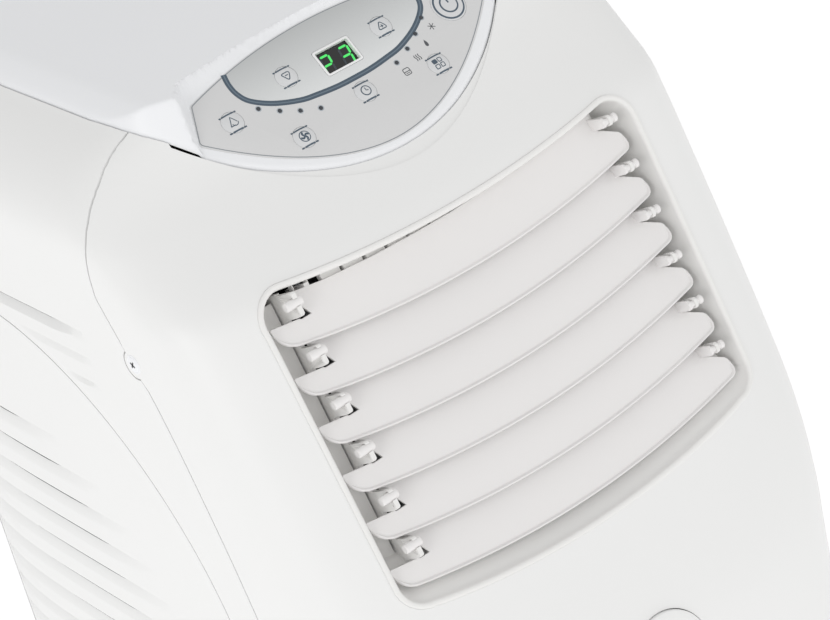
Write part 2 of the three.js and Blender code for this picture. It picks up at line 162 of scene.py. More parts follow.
def loft(rings, name, closeEnds=True, sharp=28):
    # rings of equal length in mm; each is extruded from the one before
    bm = bmesh.new()
    verts = bmesh.ops.create_circle(bm, cap_ends=False, radius=1, segments=len(rings[0]))["verts"]
    for v, p in zip(verts, rings[0]):
        v.co = Vector(p) * mm
    edges = list(bm.edges)
    if closeEnds:
        bm.faces.new(verts)
    for ring in rings[1:]:
        edges, verts = nextRow(bm, edges, verts, ring)
    if closeEnds:
        bm.faces.new(verts)
    bmesh.ops.recalc_face_normals(bm, faces=bm.faces)
    return newMesh(bm, name, True, sharp)


def prism(points, name, axis="X", low=-1, high=1):
    # outline of (a, b) pairs in mm drawn across the axis and pushed along it
    bm = bmesh.new()
    spot = {"X": lambda a, b, c: (c, a, b), "Y": lambda a, b, c: (a, c, b), "Z": lambda a, b, c: (a, b, c)}[axis]
    face = bm.faces.new([bm.verts.new(Vector(spot(a, b, low)) * mm) for a, b in points])
    top = bmesh.ops.extrude_face_region(bm, geom=[face])["geom"]
    step = Vector(spot(0, 0, high - low)) * mm
    bmesh.ops.translate(bm, verts=[g for g in top if isinstance(g, bmesh.types.BMVert)], vec=step)
    bmesh.ops.recalc_face_normals(bm, faces=bm.faces)
    return newMesh(bm, name, False)


def joined(objs, name):
    bm = bmesh.new()
    for o in objs:
        bm.from_mesh(o.data)
        bpy.data.objects.remove(o)
    return newMesh(bm, name, True, 35)


def easeEdges(bm, width):
    bmesh.ops.bevel(bm, geom=list(bm.edges), offset=width * mm, offset_type="OFFSET", segments=2, profile=0.5, affect="EDGES",
                    material=-1)


def boxAt(centre, size, name, turn, bevelWidth):
    bm = bmesh.new()
    bmesh.ops.create_cube(bm, size=1)
    bmesh.ops.scale(bm, verts=bm.verts, vec=Vector(size) * mm)
    if bevelWidth:
        easeEdges(bm, bevelWidth)
    bmesh.ops.transform(bm, matrix=turn.to_4x4(), verts=bm.verts)
    bmesh.ops.translate(bm, verts=bm.verts, vec=Vector(centre) * mm)
    return newMesh(bm, name, True, 35)


def rodBetween(a, b, radius, name, count=20, rounding=0.4):
    a, b = Vector(a), Vector(b)
    axis = (b - a).normalized()
    side = axis.orthogonal().normalized()
    other = axis.cross(side)
    k = min(rounding, radius * 0.6)
    stops = ((a, radius - k), (a + axis * k, radius), (b - axis * k, radius), (b, radius - k))
    return loft([[at + side * r * math.cos(t) + other * r * math.sin(t) for t in turnsOf(count)] for at, r in stops],
                name, sharp=40)


# camera, lights and world: the camera stands front left of the cabinet, above it, and is rolled
cameraSet = {"at": (-776.0, -1202.5, 1298.4), "right": (0.74808, -0.63455, -0.19420), "down": (-0.44872, -0.26810, -0.85251),
             "lens": 127.7, "sensor": 36.0}
cameraData = bpy.data.cameras.new("camera")
cameraData.lens, cameraData.sensor_width = cameraSet["lens"], cameraSet["sensor"]
cameraData.clip_end = 50
camera = bpy.data.objects.new("camera", cameraData)
right, up = Vector(cameraSet["right"]).normalized(), -Vector(cameraSet["down"]).normalized()
back = right.cross(up).normalized()
up = back.cross(right)
camera.matrix_world = Matrix.Translation(Vector(cameraSet["at"]) * mm) @ Matrix((right, up, back)).transposed().to_4x4()
bpy.context.collection.objects.link(camera)
bpy.context.scene.camera = camera


def areaLight(name, at, aim, size, power):
    data = bpy.data.lights.new(name, "AREA")
    data.shape, data.size, data.energy = "DISK", size, power
    lamp = bpy.data.objects.new(name, data)
    lamp.location = at
    lamp.rotation_euler = (Vector(aim) - Vector(at)).to_track_quat("-Z", "Y").to_euler()
    bpy.context.collection.objects.link(lamp)


lightSet = {"key light": ((-3.0, -1.9, 1.6), (0, 0, 0.5), 1.4, 18),
            "fill light": ((1.6, -2.5, 2.1), (0, 0, 0.55), 1.8, 6)}  # place, aim, size, watts
for name, how in lightSet.items():
    areaLight(name, *how)
world = bpy.data.worlds.new("pale studio")
world.use_nodes = True
world.node_tree.nodes["Background"].inputs["Color"].default_value = toLinear("#ffffff")
world.node_tree.nodes["Background"].inputs["Strength"].default_value = 0.74
bpy.context.scene.world = world
bpy.context.scene.view_settings.view_transform = "Standard"
print("camera and lights are set")

# finishes


def newMaterial(name):
    material = bpy.data.materials.new(name)
    material.use_nodes = True
    tree = material.node_tree
    return material, tree, tree.nodes["Principled BSDF"]


def mouldedPlastic(name, colour, roughness, texture=0.02, grain=0.6, coat=0.0, ior=1.5, shade=0.012):
    # injection-moulded ABS: even colour with a very fine spark texture that breaks the highlights softly
    material, tree, shader = newMaterial(name)
    where = addNode(tree, "ShaderNodeTexCoord")
    fine = addNode(tree, "ShaderNodeTexNoise", {"Vector": where.outputs["Object"]}, in_Scale=1000 / grain, in_Detail=2.0)
    broad = addNode(tree, "ShaderNodeTexNoise", {"Vector": where.outputs["Object"]}, in_Scale=9.0, in_Detail=3.0)
    base = toLinear(colour)
    tint = addNode(tree, "ShaderNodeMix", {"Factor": broad.outputs["Fac"]}, data_type="RGBA")
    tint.inputs["A"].default_value = tuple(c * (1 - shade) for c in base[:3]) + (1,)
    tint.inputs["B"].default_value = tuple(min(1, c * (1 + shade)) for c in base[:3]) + (1,)
    tree.links.new(tint.outputs["Result"], shader.inputs["Base Color"])
    rough = addNode(tree, "ShaderNodeMapRange", {"Value": fine.outputs["Fac"]}, in_To_Min=roughness - 0.04,
                    in_To_Max=roughness + 0.04)
    tree.links.new(rough.outputs["Result"], shader.inputs["Roughness"])
    bump = addNode(tree, "ShaderNodeBump", {"Height": fine.outputs["Fac"]}, in_Strength=texture, in_Distance=0.0001)
    tree.links.new(bump.outputs["Normal"], shader.inputs["Normal"])
    shader.inputs["IOR"].default_value = ior
    shader.inputs["Coat Weight"].default_value = coat
    return material


def metal(name, colour, roughness, texture):
    made = mouldedPlastic(name, colour, roughness, texture)
    made.node_tree.nodes["Principled BSDF"].inputs["Metallic"].default_value = 1.0
    return made


shellWhite = mouldedPlastic("white ABS, fine spark texture", "#f0f0ef", 0.42)  # soft, wide highlights with no mirror shine
coverWhite = mouldedPlastic("cool white ABS of the cover", "#f3f4f6", 0.44)  # a touch bluer than the cabinet round it
vaneWhite = mouldedPlastic("white ABS of the vanes", "#efedec", 0.38)  # slightly warmer and smoother than the cabinet
insideWhite = mouldedPlastic("white ABS inside the outlet", "#efeeec", 0.45)  # even and quiet in the shade
panelGrey = mouldedPlastic("grey printed overlay", "#d9d9d9", 0.42, 0.01)  # silk film, darker than the cabinet
blackNylonAndShade = mouldedPlastic("black glass-filled nylon and painted shade", "#1b1c1e", 0.5, 0.08)  # dull black with a light grain; the screw recesses and the wall behind the vanes use it as painted shade
slitShadeGrey = mouldedPlastic("grey sheet of painted slit shade", "#6d6f72", 0.9, 0.4, 1.2)  # painted shade: a rough dark grey sheet behind the slots makes each slot read as a dark slit
rubberGrey = mouldedPlastic("soft grey wheel rubber", "#3a3a3c", 0.72, 0.15)  # matt, highlights almost gone
silverKey = mouldedPlastic("silver key lacquer", "#d9dadb", 0.3, 0.01)  # smoother than the overlay, so the dome shows
blackGlass = mouldedPlastic("smoked acrylic window", "#0b0d0f", 0.12, 0.0, 1.0, 0.4)  # deep black with a clear reflection
outlineGrey = mouldedPlastic("grey printed line", "#8d9297", 0.4, 0.0)  # fine edge round the overlay
bandBlue = mouldedPlastic("blue-grey printed band", "#4a5a68", 0.4, 0.0)  # the darkest print, flat and even
bandPale = mouldedPlastic("pale printed line", "#aeb8c0", 0.4, 0.0)  # light ring that sets off each lamp
bandMid = mouldedPlastic("mid blue-grey printed line", "#6c7b88", 0.4, 0.0)  # lighter core of the band
inkGrey = mouldedPlastic("dark grey ink", "#55585c", 0.5, 0.0)  # signs beside the lamps
ledDark = mouldedPlastic("unlit indicator lens", "#3c4046", 0.25, 0.0)  # small dark bead with a bright spot
steelGrey = metal("zinc-plated steel", "#a9adb2", 0.35, 0.05)  # grey metal with blurred reflections

# cabinet form: a section for every height
cabinet = {"bottom": 32, "top": 700, "half": 173.4, "back": 225, "wall": 3.0, "joint": 1.0}
frontLine = [(700, -34), (692, -36), (678, -42), (660, -54), (640, -75), (622, -96), (611, -107.5), (600, -113.5),
             (560, -131.5), (500, -158.5), (440, -186), (400, -203.5), (370, -215), (340, -222), (310, -225),
             (280, -225.5), (200, -223), (120, -218), (32, -209)]
roundLine = [(700, 40), (660, 50), (600, 74), (440, 84), (330, 110), (32, 110)]
powerLine = [(700, 3.4), (600, 4.5), (440, 3.8), (330, 2.8), (32, 2.7)]


def halfWidth(z):
    z = np.asarray(z, float)
    lid = 128.5 - 17 * np.clip((z - 690) / 10, 0, 1) ** 1.6
    shoulder = 98.4 + 75 * np.sqrt(np.clip(1 - ((z - 642) / 52.4) ** 2, 0, 1))
    side = cabinet["half"] - 14 * np.clip((560 - z) / 528, 0, 1) ** 1.4
    return np.where(z > 690, lid, np.where(z > 642, shoulder, side))


def sectionAt(z, inset=0.0):
    z = np.asarray(z, float)
    front = smoothTable(frontLine, z) + inset
    middle = front + smoothTable(roundLine, z)
    rear = cabinet["back"] - 10 * np.clip((z - 640) / 60, 0, 1) ** 2 - inset
    return halfWidth(z) - inset, front, middle, rear, smoothTable(powerLine, z)


def sectionRing(z, inset=0.0, count=200):
    w, front, middle, rear, power = (float(v) for v in sectionAt(z, inset))
    t = np.linspace(0, 2 * np.pi, 4001)  # a fine outline, evened out below
    c, s = np.cos(t), np.sin(t)
    e = np.where(s < 0, 2 / power, 0.24)
    x = np.sign(c) * np.abs(c) ** e * w
    y = np.where(s < 0, middle - np.abs(s) ** e * (middle - front), middle + np.abs(s) ** e * (rear - middle))
    return [(a, b, z) for a, b in spread(np.stack([x, y], 1), count)]


def cabinetForm(name, inset=0.0, top=700.0, bottom=32.0, count=200):
    heights = [*np.linspace(bottom, 430, 40), *np.linspace(436, 640, 42), *np.linspace(644, top - 12, 14),
               *np.linspace(top - 10.5, top, 10)]
    return loft([sectionRing(z, inset, count) for z in heights], name)


def heightOver(x, y):
    # height of the cabinet form above plan points, by bisection
    x, y = np.abs(np.asarray(x, float)), np.asarray(y, float)
    low, high = np.full(x.shape, 560.0), np.full(x.shape, 700.0)
    for _ in range(26):
        z = (low + high) / 2
        w, front, middle, rear, power = sectionAt(z)
        reach = np.where(y < middle, (x / w) ** power + np.clip((middle - y) / (middle - front), 0, 9) ** power,
                         (x / w) ** 8.33 + np.clip((y - middle) / (rear - middle), 0, 9) ** 8.33)
        inside = reach < 1
        low, high = np.where(inside, z, low), np.where(inside, high, z)
    return low


def softMin(a, b, k):
    h = np.clip(0.5 + 0.5 * (b - a) / k, 0, 1)
    return b * (1 - h) + a * h - k * h * (1 - h)


# the sloping key panel's own frame: s runs up the slope, n out of it
panel = {"at": Vector((0, -51.9, 660.5)), "up": Vector((0, 0.7422, 0.6702)), "out": Vector((0, -0.6702, 0.7422)), "half": 98}


def onPanel(x, s, n=0.0):
    return panel["at"] + Vector((x, 0, 0)) + panel["up"] * s + panel["out"] * n


def panelPrism(ring, low, high, name):
    return loft([[onPanel(x, s, n) for x, s in ring] for n in (low, high)], name, sharp=1)


def lensOutline(grow=0.0, steps=40):
    half = panel["half"] + grow
    low = [(x, -31.5 - grow + 39.6 * abs(x / (90 + grow)) ** 1.93) for x in np.linspace(-half, half, steps)]
    topHalf = 88 + grow * 0.7
    high = [(x, 51.5 + grow - 13.2 * (x / 88) ** 2) for x in np.linspace(topHalf, -topHalf, steps)]
    return low + high


def softCorners(points, radius, steps=6):
    # rounds the corners of a closed outline that turn by more than a few degrees
    out = []
    n = len(points)
    for i in range(n):
        a, b, c = (Vector(points[(i + k) % n]) for k in (-1, 0, 1))
        p, q = (a - b), (c - b)
        turn = math.pi - p.angle(q)
        if turn < 0.35:
            out.append(tuple(b))
            continue
        reach = radius * math.tan(turn / 2)
        start = b + p.normalized() * reach
        end = b + q.normalized() * reach
        for k in range(steps + 1):
            t = k / steps
            out.append(tuple((1 - t) ** 2 * start + 2 * t * (1 - t) * b + t * t * end))
    return out


outer = cabinetForm("outer form")
inner = cabinetForm("inner form", cabinet["wall"], 700 - cabinet["wall"], 20, 120)
shellForm = carve(copyOf(outer, "shell form"), [inner], keepTools=True)
outerTree = BVHTree.FromObject(outer, bpy.context.evaluated_depsgraph_get())
print("cabinet form", len(shellForm.data.polygons))

# top cover with the tongue that carries the keys
cover = {"flat": 699.6, "lift": 0.7, "tongueLow": -34.0, "tongueRise": 60.5, "wallSlope": 5.0, "soft": 1.5, "thick": 3.0,
         "rise": 2.6, "clear": 0.8, "cut": (612, 760), "count": 560,
         "edge": [(0.0, 1.5), (0.12, 0.75), (0.45, 0.28), (0.95, 0.05), (1.6, 0.0)]}


def coverOutline(grow=0.0):
    pts = []
    for x in np.linspace(0, 114, 60):
        s = cover["tongueLow"] + cover["tongueRise"] * (x / 116) ** 2.06
        pts.append((x, -51.9 + 0.7422 * s))
    for x, y in ((118.6, -30.0), (122.3, -25.4), (125.2, -18.6), (127.2, -9.0), (128.2, 4.0)):
        pts.append((x, y))
    w, front, middle, rear, power = (float(v) for v in sectionAt(690.0))
    for a in np.linspace(0.0, np.pi / 2, 80):
        c, s = np.cos(a), np.sin(a)
        y = middle + s ** 0.24 * (rear - middle)
        if y > 10:
            pts.append((w * c ** 0.24, y))
    pts = np.array(pts)
    ring = spread(np.concatenate([pts, (pts * [-1, 1])[::-1][1:-1], pts[:1]]), cover["count"])
    for _ in range(3):
        ring = (np.roll(ring, 1, 0) + 2 * ring + np.roll(ring, -1, 0)) / 4
    return grown(ring, grow) if grow else ring


def lensDistance(x, y):
    # how far a plan point lies outside the lens of the key panel, in mm up the slope or sideways
    s = (y - panel["at"].y) / 0.7422
    x = np.abs(x)
    below = (-31.5 + 39.6 * (x / 90) ** 1.93) - s
    above = s - (51.5 - 13.2 * (np.minimum(x, 120) / 88) ** 2)
    beside = (x - (98 - 0.42 * (np.clip(s, 14, 60) - 14))) * 0.92
    return np.maximum(np.maximum(above, beside), 0)


def coverHeight(x, y, edge, inward, under=0.0):
    slope = panel["at"].z + 0.903 * (y - panel["at"].y) + 0.3 - under / 0.742
    outside = np.clip(lensDistance(x, y) - 0.9 - under, 0, None)
    side = 690 + 10 * np.clip((128.5 - np.abs(x)) / 17, 0, 1.2) ** 0.625
    skin = np.where(y < 30, side, heightOver(x, y)) + cover["lift"] - under
    top = softMin(np.full_like(x, cover["flat"] - under), slope + cover["wallSlope"] * outside, cover["soft"])
    top = softMin(top, edge - under + cover["rise"] * np.clip(inward - 0.4 * under, 0, None), 2.5)
    return softMin(top, skin, cover["soft"])


ring = coverOutline()
centre = np.array([0.0, 60.0])
reach = np.linalg.norm(ring - centre, axis=1)[:, None]
rings = []
edgeHeight = heightOver(ring[:, 0], ring[:, 1]) + 1.6


def coverRing(inward, share, drop, under=0.0):
    p = centre + (ring - centre) * (1 - inward / reach) * share
    z = coverHeight(p[:, 0], p[:, 1], edgeHeight, (inward + (1 - share) * reach[:, 0]), under) - drop
    rings.append([(a, b, c) for (a, b), c in zip(p, z)])


for share in np.concatenate([np.linspace(0.05, 0.5, 8), np.linspace(0.52, 0.96, 24)]):
    coverRing(2.5, share, 0, cover["thick"])
coverRing(0.0, 1.0, 3.4)
for inward, drop in cover["edge"]:
    coverRing(inward, 1.0, drop)
for share in np.concatenate([np.linspace(0.982, 0.51, 120), np.linspace(0.48, 0.04, 10)]):
    coverRing(0, share, 0)
coverObj = loft(rings, "cover top", closeEnds=True, sharp=50)
print("cover", len(coverObj.data.polygons))

# front shell
sideSeam = [(760, -22), (688, -22.1), (679.5, -24.3), (673, -27), (665.7, -29.3), (656.5, -32.2), (647, -34), (640, -33.4),
            (632, -32.6), (622, -32.8), (614.4, -36.2), (603, -42.6), (596, -46.7), (569.7, -62.3), (548.4, -71.8),
            (521.8, -81.6), (501.3, -88.6), (482, -94.8), (461.4, -100.6), (449, -104), (400, -115), (350, -123),
            (300, -129), (200, -133), (20, -133)]
screwAt = (-52.8, 587.6)
screw = {"tab": 8.2, "head": ((5.4, -0.2), (5.4, 0.15), (5.0, 0.35), (4.5, 0.1), (4.1, 0.1), (3.9, 0.45), (2.4, 0.75), (0.4, 0.8)),
         "cross": (0.3, 3.9, 0.95), "turn": 0.5}


def seamLine(shift):
    out = []
    for z in np.concatenate([[760], np.linspace(690, 600, 40)]):
        out.append((float(smoothTable(sideSeam, z)) + shift, float(z)))
    # rounded tab round the seam screw
    for a in np.linspace(50, -108, 24):
        r = screw["tab"] + shift
        out.append((screwAt[0] + r * math.cos(math.radians(a)), screwAt[1] - 0.5 + r * math.sin(math.radians(a))))
    for z in np.linspace(574, 20, 60):
        out.append((float(smoothTable(sideSeam, z)) + shift, float(z)))
    return out


def frontPrism(shift, name):
    return prism([(-300, 20), *[(y, z) for y, z in reversed(seamLine(shift))], (-300, 760)], name, "X", -220, 220)


gap = cabinet["joint"] / 2
coverPrism = prism(coverOutline(cover["clear"]), "cover prism", "Z", *cover["cut"])

outlet = {"top": -3.5, "topBow": 9.0, "bottom": 179.4, "bottomBow": 11.8, "half": 128.6, "corner": 17, "at": Vector((0, -108, 606)),
          "down": Vector((0, -0.4038, -0.9148)), "out": Vector((0, -0.9148, 0.4038))}


def onOutlet(x, u, n=0.0):
    return outlet["at"] + Vector((x, 0, 0)) + outlet["down"] * u + outlet["out"] * n


def outletOutline(count=240):
    h, c = outlet["half"], outlet["corner"]
    topEdge = lambda x: outlet["top"] - outlet["topBow"] * (x / 114) ** 2
    lowEdge = lambda x: outlet["bottom"] - outlet["bottomBow"] * (x / 115) ** 2
    pts = []

    def corner(cx, cu, start):
        for k in range(13):
            a = math.radians(start + 90 * k / 12)
            pts.append((cx + c * math.cos(a), cu + c * math.sin(a)))

    tu, bu = topEdge(h - c), lowEdge(h - c)
    corner(-(h - c), tu + c, 180)
    pts.extend((x, topEdge(x)) for x in np.linspace(-(h - c) + 3, h - c - 3, 60))
    corner(h - c, tu + c, 270)
    pts.extend((h - 0.010 * (u - tu), u) for u in np.linspace(tu + c + 3, bu - c - 3, 40))
    corner(h - 1.6 - c, bu - c, 0)
    pts.extend((x, lowEdge(x)) for x in np.linspace(h - c - 4, -(h - c) + 4, 60))
    corner(-(h - 1.6 - c), bu - c, 90)
    pts.extend((-(h - 0.010 * (u - tu)), u) for u in np.linspace(bu - c - 3, tu + c + 3, 40))
    return spread(np.array(pts + pts[:1]), count)


outletRing = outletOutline()


def skinOver(x, u):
    # height of the cabinet skin over the outlet plane
    start = onOutlet(x, u, 80) * mm
    hit = outerTree.ray_cast(start, -outlet["out"])
    return 80 - hit[3] / mm


outletTool = loft([[onOutlet(x, u, n) for x, u in grown(outletRing, 1.0)] for n in (-60, 60)], "outlet tool", sharp=1)
nose = {"height": 365, "hole": 26.4, "tilt": 15,
        "profile": ((25.9, -3.2), (25.9, -0.1), (25.5, 0.45), (24.6, 0.8), (19.6, 1.1), (19.3, 0.4), (18.5, 0.4), (18.2, 1.2),
                    (12, 1.7), (1, 1.9))}
noseAt = outerTree.ray_cast(Vector((0, -500, nose["height"])) * mm, Vector((0, 1, 0)))[0] / mm
noseFrame = Matrix.Translation(noseAt) @ Matrix.Rotation(math.pi / 2 - math.radians(nose["tilt"]), 4, "X")


def noseRing(r, n):
    return [noseFrame @ Vector((r * math.cos(a), r * math.sin(a), n)) for a in turnsOf(96)]


noseTool = loft([noseRing(nose["hole"], n) for n in (-20, 20)], "nose tool", sharp=1)

trough = {"depth": 1.3, "low": -44.0, "rise": 53.0}
troughSide = [(x, trough["low"] + trough["rise"] * abs(x / 100) ** 1.9) for x in np.linspace(-112, 112, 60)]
troughTool = panelPrism([*troughSide, (112, 80), (-112, 80)], -30, 40, "trough tool")
shallow = cabinetForm("shallow form", trough["depth"], 700 - trough["depth"], 20, 120)
carve(troughTool, [shallow])

frontShell = copyOf(shellForm, "front shell")
carve(frontShell, [frontPrism(-gap, "front prism")], "INTERSECT")
carve(frontShell, [coverPrism], keepTools=True)
carve(frontShell, [troughTool, outletTool, noseTool])
tidyFaces(frontShell)
place(frontShell, "cabinet", shellWhite, "white_shell", "front_shell")
print("front shell", len(frontShell.data.polygons))

# side shells with their curved intake inserts
insert = {"y": 112, "z": 384, "radius": 193.5, "low": 262, "back": 196, "field": 150, "tips": 131, "first": 503, "pitch": 21,
          "count": 15, "slot": (187, 4.85, 11.0, 60, 3)}
rearCut = cabinet["back"] - 14


def insertOutline(shift, radius=insert["radius"]):
    r, low, rear = radius + shift, insert["low"] + radius - insert["radius"] + shift, insert["back"] + shift
    start = math.acos((rear - insert["y"]) / r) if rear - insert["y"] < r else 0
    pts = []
    for a in np.linspace(start, 2 * math.pi - start, 150):
        pts.append((insert["y"] + r * math.cos(a), insert["z"] + (r if a < math.pi else low) * math.sin(a)))
    return pts


def skinX(y, z):
    w, front, middle, rear, power = (float(v) for v in sectionAt(z))
    if y < middle:
        return w * (1 - min(0.98, (middle - y) / (middle - front)) ** power) ** (1 / power)
    return w * (1 - min(0.98, (y - middle) / (rear - middle)) ** 8.33) ** 0.12


def wedges(side, rows, name):
    # each row is cut as a wedge: level upper face, floor that slopes back out to the skin; tapered at its ends
    tools = []
    for z, y0, y1, depth, high, ease0, ease1 in rows:
        rings = []
        end = y1 - y0
        steps = np.unique(np.concatenate([np.linspace(0, ease0, 7), np.linspace(ease0, end - ease1, 9),
                                          np.linspace(end - ease1, end, 5)]))
        for t in steps:
            k = min(1, t / ease0, (y1 - y0 - t) / ease1)
            k = max(0.02, math.sin(k * math.pi / 2))
            d, h = depth * k, high * (0.45 + 0.55 * k)
            top, low = skinX(y0 + t, z), skinX(y0 + t, z - h)
            corners = ((top + 1.0, z), (top - d, z - 0.1), (low + 0.03, z - h), (low + 1.0, z - h - 0.2))
            rings.append([(side * x, y0 + t, height) for x, height in corners])
        tools.append(loft(rings, "wedge", sharp=1))
    return joined(tools, name)


# rows are (height, front end, rear end, depth, height of the wedge, length of the front taper, of the rear taper)
recessRows = [(592.5, -7.5, 118, 5.6, 8.0, 34, 30), (576, -7.5, 58, 2.8, 5.5, 16, 24), (560.5, -7.5, 20, 2.4, 4.2, 10, 12)]
slotRows = []
for k in range(insert["count"]):
    z = insert["first"] - insert["pitch"] * k
    dz = (z - insert["z"]) / (1 if z > insert["z"] else (insert["low"] - 62) / insert["tips"])
    if abs(dz) < insert["tips"] - 4:
        slotRows.append((z, insert["y"] - math.sqrt(insert["tips"] ** 2 - dz ** 2), *insert["slot"]))
matForm = carve(cabinetForm("mat form", 4.0, 696, 24, 120), [cabinetForm("mat inner", 5.0, 695, 20, 120)])
fieldForm = cabinetForm("field form", 0.5, 699, 20, 160)
for side, tag in ((-1, "left"), (1, "right")):
    reach = (side * 100, side * 240) if side > 0 else (-240, -100)
    shell = copyOf(shellForm, f"side shell {tag}")
    carve(shell, [frontPrism(gap, "front prism"),
                  prism(coverOutline(cover["clear"]), "cover prism side", "Z", *cover["cut"]),
                  prism([(-250, rearCut), (250, rearCut), (250, 300), (-250, 300)], "rear tool", "Z", 0, 760),
                  prism([(0, -300), (side * -260, -300), (side * -260, 300), (0, 300)], "half tool", "Z", 0, 760),
                  prism(insertOutline(0.45), "insert hole", "X", *reach), wedges(side, recessRows, "recess tool")])
    tidyFaces(shell)
    place(shell, "cabinet", shellWhite, "white_shell", f"side_shell_{tag}")
    louvred = copyOf(shellForm, f"side insert {tag}")
    carve(louvred, [prism(insertOutline(-0.45), "insert prism", "X", *reach)], "INTERSECT")
    field = prism(insertOutline(0, insert["field"]), "field prism", "X", *reach)
    carve(field, [fieldForm], keepTools=True)
    carve(louvred, [field, wedges(side, slotRows, "slot tool")])
    tidyFaces(louvred)
    place(louvred, "cabinet", shellWhite, "white_shell", f"side_insert_{tag}")
    # countersunk seam screw with a cross recess
    w = float(halfWidth(screwAt[1]))
    head = loft([[(side * (w + x), screwAt[0] + r * math.cos(a), screwAt[1] + r * math.sin(a)) for a in turnsOf(36)]
                 for r, x in screw["head"]], f"seam screw {tag}", sharp=30)
    place(head, "cabinet", coverWhite, "white_shell")
    # the cross recess is not cut into the head: a dark box laid in it is painted shade for the hole
    for k in range(2):
        turn = Matrix.Rotation(screw["turn"] + k * math.pi / 2, 3, "X")
        slot = boxAt((side * (w + 0.72), *screwAt), screw["cross"], f"cross recess {tag} {k}", turn, 0)
        place(slot, "cabinet", blackNylonAndShade, "steel")
    # dark sheet behind the slots: painted shade that stands in for the dark inside of the cabinet seen through them
    mat = copyOf(matForm, f"side filter {tag}")
    carve(mat, [prism([(min(y, 204), z) for y, z in insertOutline(46)], "mat prism", "X", *reach)], "INTERSECT")
    tidyFaces(mat)
    place(mat, "cabinet", slitShadeGrey, "black_plastic")

# round cap low on the front
cap = loft([noseRing(r, n) for r, n in nose["profile"]], "front cap", sharp=30)
place(cap, "cabinet", shellWhite, "white_shell", "front_cap")
print("side shells, inserts, screws and cap")
place(coverObj, "cabinet", coverWhite, "cover_grey", "top_cover")

# outlet frame: a bright bead on the skin and a wall that runs back to the vanes' pin slots
# bead: (out from the outline, out of the plane); wall: the same, then its share of the skin's curve and the foot's extra
rim = {"bead": [(0.92, -2.2), (0.92, 0.1), (0.75, 0.75), (0.1, 1.2), (-0.9, 1.3), (-1.8, 0.95), (-2.4, 0.2), (-2.7, -1.0)],
       "wall": [(-3.4, -5.0, 0.8, 4), (-4.4, -9.5, 0.5, 12), (-5.2, -14, 0.3, 21), (-6.0, -22, 0.0, 27), (-6.4, -36, 0.0, 28),
                (-4.6, -37, 0.0, 28), (-3.6, -23, 0.0, 25), (-2.8, -17, 0.3, 19), (-1.8, -12.5, 0.5, 9), (-0.6, -8.0, 1.0, 0),
                (0.92, -2.2, 1.0, 0)],
       "footDrop": 2.4, "roofRoom": 1.5}
rimSkin = np.array([skinOver(x, u) for x, u in outletRing])
for _ in range(4):
    rimSkin = (np.roll(rimSkin, 1) + 2 * rimSkin + np.roll(rimSkin, -1)) / 4
rings = []
for g, n in rim["bead"]:
    rings.append([onOutlet(x, u, n + k) for (x, u), k in zip(grown(outletRing, g), rimSkin)])
# the wall under the last vane slopes in more than the others, and the wall over the first one makes room for its turn
foot = np.clip((outletRing[:, 1] - 152) / 15, 0, 1)
foot = foot * foot * (3 - 2 * foot)
roof = np.clip((4 - outletRing[:, 1]) / 6, 0, 1) * np.clip((118 - np.abs(outletRing[:, 0])) / 10, 0, 1)


def footed(g, extra):
    out = grown(outletRing, g)
    out[:, 1] -= extra * foot + np.clip(-g - 2.7, 0, 9) * roof * rim["roofRoom"]
    return out


for g, n, share, extra in rim["wall"]:
    drop = rim["footDrop"] if extra else 0.0
    rings.append([onOutlet(x, u, n + k * share - drop * f) for (x, u), k, f in zip(footed(g, extra), rimSkin, foot)])


rimObj = loft(rings, "louvre frame", closeEnds=False, sharp=40)
bm = bmesh.new()
bm.from_mesh(rimObj.data)
bmesh.ops.remove_doubles(bm, verts=bm.verts, dist=1e-6)
bmesh.ops.recalc_face_normals(bm, faces=bm.faces)
bm.to_mesh(rimObj.data)
bm.free()
outletTurn = Matrix((Vector((1, 0, 0)), outlet["down"], outlet["out"])).transposed()
carve(rimObj, [boxAt(onOutlet(-88, 140, -29), (14, 42, 27), "lever slot", outletTurn, 0)])
tidyFaces(rimObj, 40)
place(rimObj, "cabinet", insideWhite, "white_shell", "louvre_frame")
print("outlet frame", len(rimObj.data.polygons))


vane = {"pitch": 27.2, "count": 6, "half": 118.6, "pin": 2.5, "plane": -13.2, "slope": 0.29}
vaneRows = [vane["pitch"] * i for i in range(vane["count"])]


def turned(points, thickness, at, i, bevelWidth=0.35):
    # flat shape in the (u, n) plane of vane i, pushed along X
    obj = prism(points, "turned", "X", 0, thickness)
    bm = bmesh.new()
    bm.from_mesh(obj.data)
    for v in bm.verts:
        x, u, n = v.co / mm
        v.co = onOutlet(at + x, vaneRows[i] + u, n) * mm
    bmesh.ops.recalc_face_normals(bm, faces=bm.faces)
    if bevelWidth:
        easeEdges(bm, bevelWidth)
    bm.to_mesh(obj.data)
    bm.free()
    return obj


